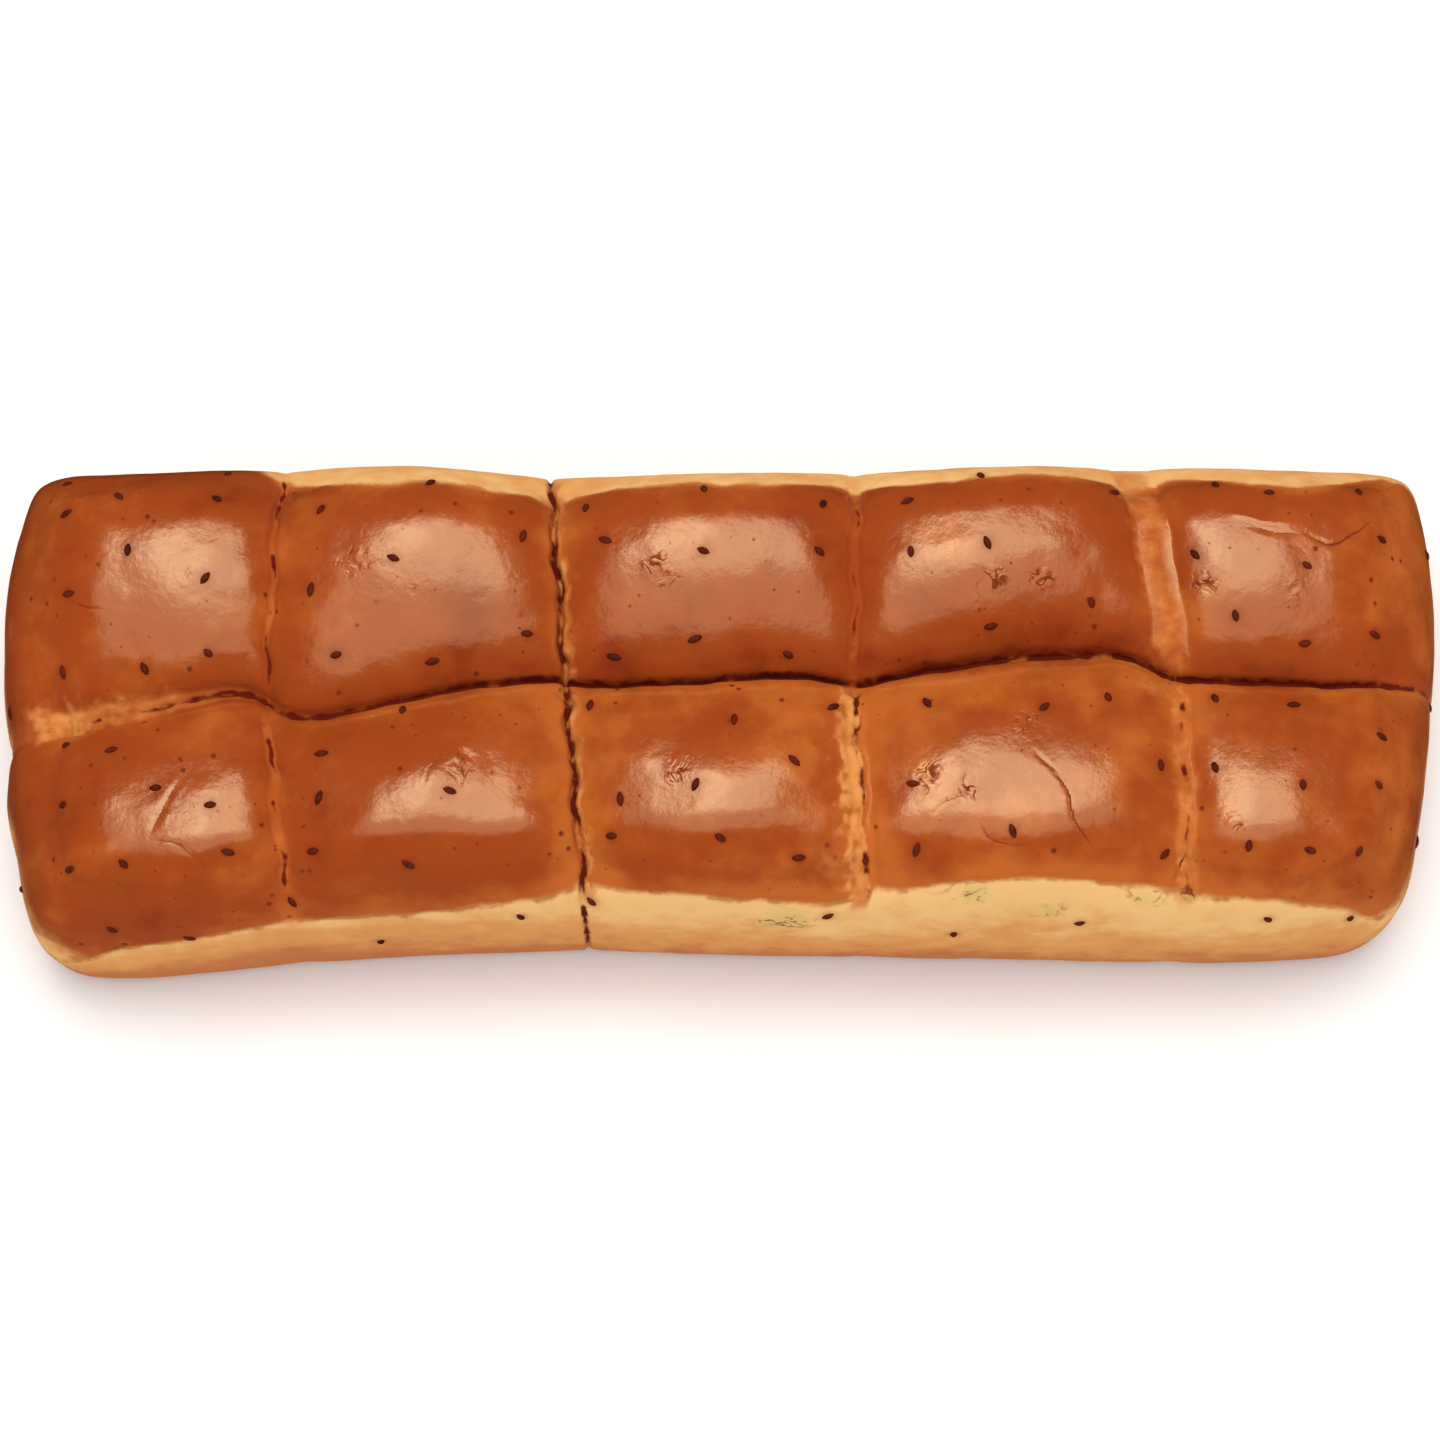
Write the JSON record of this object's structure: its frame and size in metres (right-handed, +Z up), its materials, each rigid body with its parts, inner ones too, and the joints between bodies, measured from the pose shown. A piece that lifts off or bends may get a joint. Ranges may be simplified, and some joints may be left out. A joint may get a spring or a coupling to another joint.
{
  "type": "mosbolletjie loaf",
  "caption": "Pull-apart loaf of soft aniseed buns baked touching, with a glazed brown crust, pale sides and a flat base.",
  "frame": {"origin": "middle of the loaf's bounding box on its flat base", "axes": "+X along the long side, +Y toward the back row of buns, +Z up out of the crust"},
  "size_m": [0.3168, 0.1102, 0.0616],
  "materials": {
    "crust": "glazed baked crust, satin to glossy"
  },
  "bodies": {
    "root": {"mosbolletjie_loaf": "crust"}
  },
  "joints": []
}
